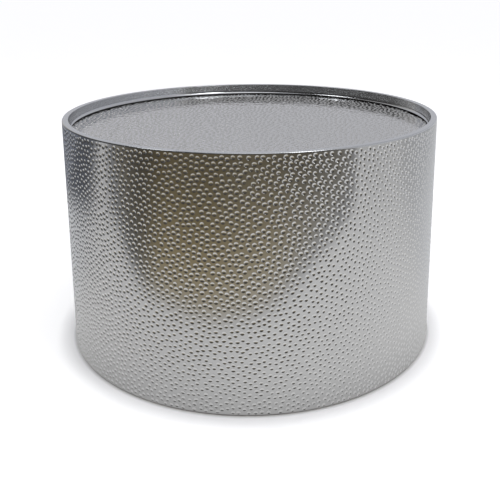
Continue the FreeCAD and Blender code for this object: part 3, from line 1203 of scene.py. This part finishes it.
@dataclass
class Carcass:
    """The wooden inside, its screws and glides, and the seam's pins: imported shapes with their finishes."""

    level_ply: float = 1.8 * MM
    bent_ply: float = 1.5 * MM
    # The wall is painted near-black from this height up: painted shade in the gap under the rim.
    wall_painted_shade_from: float = 0.412

    def finishes(self) -> dict[str, bpy.types.Material]:
        """One material for each kind of node.

        Returns:
            The materials by the start of the nodes' names, the longer starts first.
        """
        pins = PlatedSteel("pin_metal", (0.62, 0.62, 0.62), (0.48, 0.48, 0.485), 0.22).material()
        wall = Plywood("plywood_wall", PlyLay.BENT, self.bent_ply, painted_shade_from=self.wall_painted_shade_from)
        zinc = PlatedSteel("zinc_screw", (0.72, 0.71, 0.66), (0.50, 0.49, 0.45), 0.32).material()
        rings = Plywood("plywood_rings", PlyLay.LEVEL, self.level_ply).material()
        return {
            "base_ring_screws": zinc,
            "upper_ring_screws": zinc,
            "core_screws": zinc,
            "glide_screws": zinc,
            "base_ring": rings,
            "upper_ring": rings,
            "wall": wall.material(),
            "post": Softwood().material(),
            "top_core": FibreBoard().material(),
            "glide": GlidePlastic().material(),
            "seam_pins": pins,
        }

    def dress(self) -> list[str]:
        """Gives every node that still shows its material.

        Returns:
            The names of the nodes that were dressed.
        """
        finishes = self.finishes()
        shown = [name for name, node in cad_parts.items() if not node.hide_render]
        for name in shown:
            kind = next(start for start in finishes if name.startswith(start))
            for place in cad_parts[name].material_slots:
                place.material = finishes[kind]
        return shown


@dataclass(frozen=True)
class PhotoCamera:
    """The photograph's viewpoint: distance and height from the table's foot, aim, lens and framing."""

    distance: float = 1.38302
    height: float = 0.70100
    pitch: float = 12.811
    yaw: float = 0.986
    roll: float = 0.275
    focal_px: float = 688.76
    image_px: float = 500.0
    middle_px: Pair = (262.0, 140.0)
    sensor: float = 36.0

    def build(self) -> None:
        """Makes the scene's camera: it looks along +Y, down by the pitch, and is shifted to the framing."""
        data = bpy.data.cameras.new("photo_camera")
        data.sensor_width = self.sensor
        data.lens = self.focal_px * self.sensor / self.image_px
        data.shift_x = 0.5 - self.middle_px[0] / self.image_px
        data.shift_y = self.middle_px[1] / self.image_px - 0.5
        pitch, yaw, roll = (math.radians(angle) for angle in (self.pitch, self.yaw, self.roll))
        ahead = Vector((math.sin(yaw) * math.cos(pitch), math.cos(yaw) * math.cos(pitch), -math.sin(pitch)))
        right = Vector((math.cos(yaw), -math.sin(yaw), 0.0))
        down = ahead.cross(right)
        rolled_right = right * math.cos(roll) + down * math.sin(roll)
        rolled_down = down * math.cos(roll) - right * math.sin(roll)
        turn = Matrix((rolled_right, -rolled_down, -ahead)).transposed().to_4x4()
        camera = add_object("photo_camera", data)
        camera.matrix_world = Matrix.Translation((0.0, -self.distance, self.height)) @ turn
        bpy.context.scene.camera = camera


@dataclass(frozen=True)
class Fade:
    """A soft step: 0 up to low, the whole amount from high."""

    low: float
    high: float
    amount: float = 1.0

    def at(self, value: np.ndarray) -> np.ndarray:
        """The step at each value: the amount times 3t^2 - 2t^3, with t from 0 to 1 between its ends."""
        t = np.clip((value - self.low) / (self.high - self.low), 0.0, 1.0)
        return self.amount * (t * t * (3.0 - 2.0 * t))


def summed(fades: tuple[Fade, ...], value: np.ndarray) -> np.ndarray:
    """The sum of several steps at each value."""
    return sum(fade.at(value) for fade in fades)


@dataclass(frozen=True)
class ReflectedFloor:
    """The floor as the metal sees it, by the place x to the right of the table's axis and y behind it.

    A pale sheet lies round the table, shaded close to it, duller at the far right and behind, and a little
    cooler at the table's sides and back. To the left it ends in dull grey with one lighter streak. Past its
    slanted front edge are brown boards that darken as exp(-distance). Angles are degrees round the axis, from
    the front to the left.
    """

    table_radius: float = 0.37
    sheet: float = 0.82
    sheet_right: tuple[Fade, ...] = (Fade(-0.35, 0.25, 0.06), Fade(0.6, 1.9, -0.20))
    sheet_behind: Fade = Fade(-0.25, 0.20, -0.18)
    contact: float = 0.32
    contact_reach: float = 0.06
    dull_left: Fade = Fade(0.2, 0.8)
    dull_away: Fade = Fade(0.92, 1.42)
    grey: float = 0.14
    grey_behind: Fade = Fade(0.7, 1.0, 0.12)
    grey_tint: Colour = (0.93, 0.98, 1.12)
    streak: float = 0.58
    streak_middle: float = -0.12
    streak_width: float = 0.235
    streak_tint: Colour = (1.0, 0.98, 0.95)
    cool: Fade = Fade(80.0, 112.0)
    cool_tint: Colour = (-0.025, -0.004, 0.030)
    edge: tuple[Pair, ...] = (
        (-4.0, -0.36), (-1.2, -0.37), (-0.85, -0.42), (-0.60, -0.49), (-0.44, -0.57), (-0.27, -0.62),
        (0.0, -0.69), (0.30, -0.80), (0.50, -0.855), (0.75, -0.845), (1.05, -0.825), (1.30, -0.89),
        (1.60, -1.04), (4.0, -2.4))
    edge_blur: Fade = Fade(-0.07, 0.10)
    red: float = 0.135
    red_near: float = 0.465
    red_reach: float = 0.60
    red_right: Fade = Fade(0.0, 20.0, -0.04)
    dim_left: tuple[Fade, ...] = (Fade(0.0, 28.0, -0.11), Fade(38.0, 59.0, -0.53), Fade(60.0, 76.0, 0.19))
    dim_right: tuple[Fade, ...] = (Fade(12.0, 28.0, -0.14), Fade(36.0, 50.0, -0.18))
    blue: float = 0.57
    blue_near: float = 0.43
    blue_reach: float = 0.14
    blue_left: tuple[Fade, ...] = (Fade(0.0, 25.0, -0.09), Fade(44.0, 64.0, 0.24))
    blue_right: Fade = Fade(0.0, 45.0, 0.25)
    green_least: float = 0.45
    green_power: float = 0.6

    def pale(self, x: np.ndarray, y: np.ndarray, left: np.ndarray) -> np.ndarray:
        """The light of the pale sheet and of the grey that it ends in.

        Args:
            x: place to the right.
            y: place behind.
            left: angle of the place.

        Returns:
            The light, red, green and blue, at each place.
        """
        away = np.hypot(x, y)
        near = np.exp(-np.clip(away - self.table_radius, 0.0, None) / self.contact_reach)
        sheet = (self.sheet + summed(self.sheet_right, x)) * (1.0 + self.sheet_behind.at(y))
        sheet = (sheet * (1.0 - self.contact * near))[..., None]
        dull = (self.dull_left.at(-x) * self.dull_away.at(away))[..., None]
        streak = self.streak * np.exp(-((y - self.streak_middle) / self.streak_width) ** 2)
        grey = (self.grey + self.grey_behind.at(y))[..., None] * np.array(self.grey_tint)
        grey = grey + streak[..., None] * np.array(self.streak_tint)
        cool = self.cool.at(np.abs(left))[..., None] * np.array(self.cool_tint)
        return (sheet * (1.0 - dull) + dull * grey) * (1.0 + cool)

    def boards(self, past: np.ndarray, left: np.ndarray) -> np.ndarray:
        """The light of the brown boards: red falls slowly past the sheet's edge, green and blue faster.

        Args:
            past: distance past the sheet's edge.
            left: angle of the place.

        Returns:
            The light, red, green and blue, at each place.
        """
        inside = np.clip(past, 0.0, None)
        dim = 1.0 + summed(self.dim_left, left) + summed(self.dim_right, -left)
        red = self.red + self.red_right.at(-left) + self.red_near * np.exp(-inside / self.red_reach)
        blue = self.blue + summed(self.blue_left, left) + self.blue_right.at(-left)
        blue = np.minimum(blue + self.blue_near * np.exp(-inside / self.blue_reach), 1.0)
        green = (self.green_least + (1.0 - self.green_least) * blue) ** self.green_power
        return (red * dim)[..., None] * np.stack([np.ones_like(blue), green, blue], axis=-1)

    def light(self, x: np.ndarray, y: np.ndarray) -> np.ndarray:
        """The sheet's light as far as its blurred edge, and the boards' past it.

        Args:
            x: place to the right.
            y: place behind.

        Returns:
            The light, red, green and blue, at each place.
        """
        left = np.degrees(np.arctan2(-x, -y))
        past = np.interp(x, *np.array(self.edge).T) - y
        share = self.edge_blur.at(past)[..., None]
        return self.pale(x, y, left) * (1.0 - share) + self.boards(past, left) * share


@dataclass(frozen=True)
class DarkRoom:
    """The unlit end of the room: an upright part of a cylinder, with one lighter band round it.

    It fades into the lit room at both ends. Angles are degrees round the axis, from the right to the back.
    """

    radius: float = 4.3
    height: float = 14.0
    start: float = 118.0
    start_fade: float = 30.0
    end: float = 326.0
    end_fade: float = 10.0
    steps: int = 96
    dark: float = 0.042
    lit: float = 0.70
    band: tuple[float, float, float, float] = (1.03, 1.10, 1.34, 1.41)
    band_light: float = 0.26
    peak: float = 0.45
    peak_turn: float = 303.0
    peak_width: float = 9.0
    tint: Colour = (1.0, 0.97, 0.93)

    def surface(self) -> tuple[np.ndarray, np.ndarray]:
        """The card's points at each level and angle. The band's light has a peak, exp(-t^2), at one angle.

        Returns:
            The points and the light, red, green and blue, at each.
        """
        turn = np.linspace(self.start, self.end, self.steps)
        outward, _ = directions(np.radians(turn))
        level = np.array([0.0, *self.band, self.height])[:, None]
        glow = self.band_light + self.peak * np.exp(-((turn - self.peak_turn) / self.peak_width) ** 2)
        dark = self.dark + np.isin(level, self.band[1:3]) * glow
        begin = Fade(-self.start - self.start_fade, -self.start).at(-turn)
        lit = np.maximum(begin, Fade(self.end - self.end_fade, self.end).at(turn))
        light = dark + (self.lit - dark) * lit
        return self.radius * outward + level[..., None] * UP, light[..., None] * np.array(self.tint)


@dataclass(frozen=True)
class Lamp:
    """A soft rectangular lamp: its middle, the point that it faces, its width and height, and its watts."""

    name: str
    place: Triple
    aim: Triple
    size: Pair
    power: float
    mirrored: bool = True

    def build(self) -> None:
        """Makes the lamp, which shows in reflections only where it is mirrored."""
        data = bpy.data.lights.new(self.name, "AREA")
        data.shape, data.size, data.size_y, data.energy = "RECTANGLE", *self.size, self.power
        place = Vector(self.place)
        turn = (place - Vector(self.aim)).to_track_quat("Z", "Y").to_matrix().to_4x4()
        lamp = add_object(self.name, data)
        lamp.matrix_world = Matrix.Translation(place) @ turn
        lamp.visible_glossy = self.mirrored


@dataclass
class Studio:
    """A pale floor and backdrop, and the room, cards and lamps that the metal reflects."""

    floor_radius: float = 40.0
    floor_sides: int = 128
    floor_dark: Colour = (0.84, 0.84, 0.85)
    floor_light: Colour = (0.88, 0.88, 0.89)
    floor_cloud: float = 3.0
    floor_glow: float = 0.44
    # Painted shadow under the table: inside these radii the floor's glow fades out and its colour turns
    # near-black.
    glow_shadow_edge: Pair = (0.362, 0.41)
    under: Colour = (0.02, 0.02, 0.02)
    under_shadow_edge: Pair = (0.360, 0.376)
    backdrop_height: float = 60.0
    backdrop_light: Pair = (1.0, 0.90)
    backdrop_steps: int = 97
    card_half: float = 4.4
    card_step: float = 0.04
    card_lift: float = 1.0 * MM
    sky: tuple[tuple[float, Colour], ...] = (
        (0.0, (0.80, 0.805, 0.83)), (0.05, (0.77, 0.775, 0.80)), (0.13, (0.59, 0.595, 0.63)),
        (0.30, (0.655, 0.66, 0.695)), (0.92, (0.58, 0.58, 0.59)), (0.97, (0.80, 0.80, 0.81)))
    lamps: tuple[Lamp, ...] = (
        Lamp("overhead_softbox", (0.5, -0.6, 2.8), (0.0, 0.0, 0.2), (1.8, 1.8), 9.0),
        Lamp("left_lamp", (-1.55, 0.45, 3.1), (0.0, 0.0, 0.45), (0.7, 0.7), 8.0),
        Lamp("right_lamp", (1.15, -1.3, 2.85), (0.0, 0.0, 0.45), (0.7, 0.7), 12.0),
        Lamp("front_softbox", (0.1, -2.2, 2.4), (0.0, 0.0, 0.4), (1.4, 0.7), 8.0, mirrored=False))

    @staticmethod
    def card(name: str, points: np.ndarray, light: np.ndarray, mirrored: bool = True) -> None:
        """A studio card that shows only in reflections, or only directly.

        Args:
            name: the card's name.
            points: a grid of its points.
            light: the light at each point.
            mirrored: whether it shows in reflections; otherwise it is seen directly.
        """
        material, paint = new_material(name)
        tone = paint.make("ShaderNodeAttribute", {"attribute_name": LIGHT}, {}, "Color")
        shine = paint.make("ShaderNodeEmission", {}, {"Color": tone})
        paint.make("ShaderNodeOutputMaterial", {}, {"Surface": shine})
        number = np.arange(points[..., 0].size).reshape(points.shape[:2])
        mesh = bpy.data.meshes.new(name)
        mesh.from_pydata(points.reshape(-1, 3).tolist(), [], grid_quads(number).tolist())
        colour = np.concatenate([np.broadcast_to(light, points.shape), np.ones((*number.shape, 1))], axis=-1)
        layer = mesh.attributes.new(LIGHT, "FLOAT_COLOR", "POINT")
        layer.data.foreach_set("color", colour.astype(np.float32).ravel())
        mesh.materials.append(material)
        card = add_object(name, mesh)
        card.visible_shadow = card.visible_diffuse = card.visible_transmission = False
        card.visible_camera, card.visible_glossy = not mirrored, mirrored

    def floor(self) -> None:
        """The pale floor: a wide disc with a painted shadow, near-black and not glowing, under the table;
        elsewhere it glows a little to stay pale far away.
        """
        material, paint = new_material("pale_floor")
        x, y, _ = paint.axes()
        away = (x * x + y * y) ** 0.5
        pale = paint.blend(paint.speckle(self.floor_cloud, 3.0), self.floor_dark, self.floor_light)
        # Painted shadow: near-black colour and no glow under the table.
        tone = paint.blend(paint.ramp(away, *self.under_shadow_edge), self.under, pale)
        beside = paint.blend(paint.ramp(away, *self.glow_shadow_edge), (0.0, 0.0, 0.0), (1.0, 1.0, 1.0))
        matt = paint.make("ShaderNodeBsdfDiffuse", {}, {"Color": tone})
        glow = paint.make("ShaderNodeEmission", {}, {"Color": beside, "Strength": self.floor_glow})
        both = paint.make("ShaderNodeAddShader", {}, {0: matt, 1: glow})
        paint.make("ShaderNodeOutputMaterial", {}, {"Surface": both})
        outward, _ = directions(np.linspace(0.0, 2.0 * math.pi, self.floor_sides, endpoint=False))
        mesh = bpy.data.meshes.new("pale_floor")
        mesh.from_pydata((outward * self.floor_radius).tolist(), [], [range(self.floor_sides)])
        mesh.materials.append(material)
        add_object("pale_floor", mesh)

    def room(self) -> None:
        """The world: a soft grey that changes with height, palest at the horizon and overhead."""
        world = bpy.data.worlds.new("soft_room")
        world.use_nodes = True
        bpy.context.scene.world = world
        paint = Paint(world.node_tree)
        way = paint.make("ShaderNodeTexCoord", {}, {}, "Generated")
        rise = paint.make("ShaderNodeSeparateXYZ", {}, {0: way}, "Z")
        tone = paint.make("ShaderNodeValToRGB", {"stops": self.sky}, {0: rise})
        light = paint.make("ShaderNodeBackground", {}, {"Color": tone})
        paint.make("ShaderNodeOutputWorld", {}, {"Surface": light})

    def backdrop(self) -> None:
        """The pale backdrop: an upright cylinder on the floor's edge, not seen in reflections."""
        outward, _ = directions(np.linspace(0.0, 2.0 * math.pi, self.backdrop_steps))
        level = np.array([0.0, self.backdrop_height])[:, None, None]
        light = np.array(self.backdrop_light)[:, None, None]
        self.card("backdrop", self.floor_radius * outward + level * UP, light, mirrored=False)

    def seen_floor(self) -> None:
        """The floor as the metal sees it: a square card just above the real one."""
        line = np.arange(-self.card_half, self.card_half + self.card_step / 2.0, self.card_step)
        x, y = np.meshgrid(line, line)
        points = np.stack([x, y, np.full_like(x, self.card_lift)], axis=-1)
        self.card("seen_floor", points, ReflectedFloor().light(x, y))

    def build(self) -> None:
        """Sets up the floor, room, cards and lamps."""
        bpy.context.scene.view_settings.view_transform = "Standard"
        self.floor()
        self.room()
        self.backdrop()
        self.seen_floor()
        self.card("dark_room", *DarkRoom().surface())
        for lamp in self.lamps:
            lamp.build()


def main() -> None:
    """Builds the table's pieces in order, then the studio."""
    logging.basicConfig(level=logging.INFO, format="%(name)s: %(message)s")
    PhotoCamera().build()
    skin = DrumSkin(EmbossedMetal("embossed_sheet", Roll.ROUND))
    top = TopSheet(EmbossedMetal("embossed_top", Roll.STRAIGHT, pit_highlight=0.0, wave=100.0), skin.pattern)
    for piece in skin.build() + top.build() + [RimCap(SmoothRim()).build()]:
        log.info("%s: %d faces", piece.name, len(piece.data.polygons))
    for name in Carcass().dress():
        log.info("%s dressed", name)
    Studio().build()


if __name__ == "__main__":
    main()
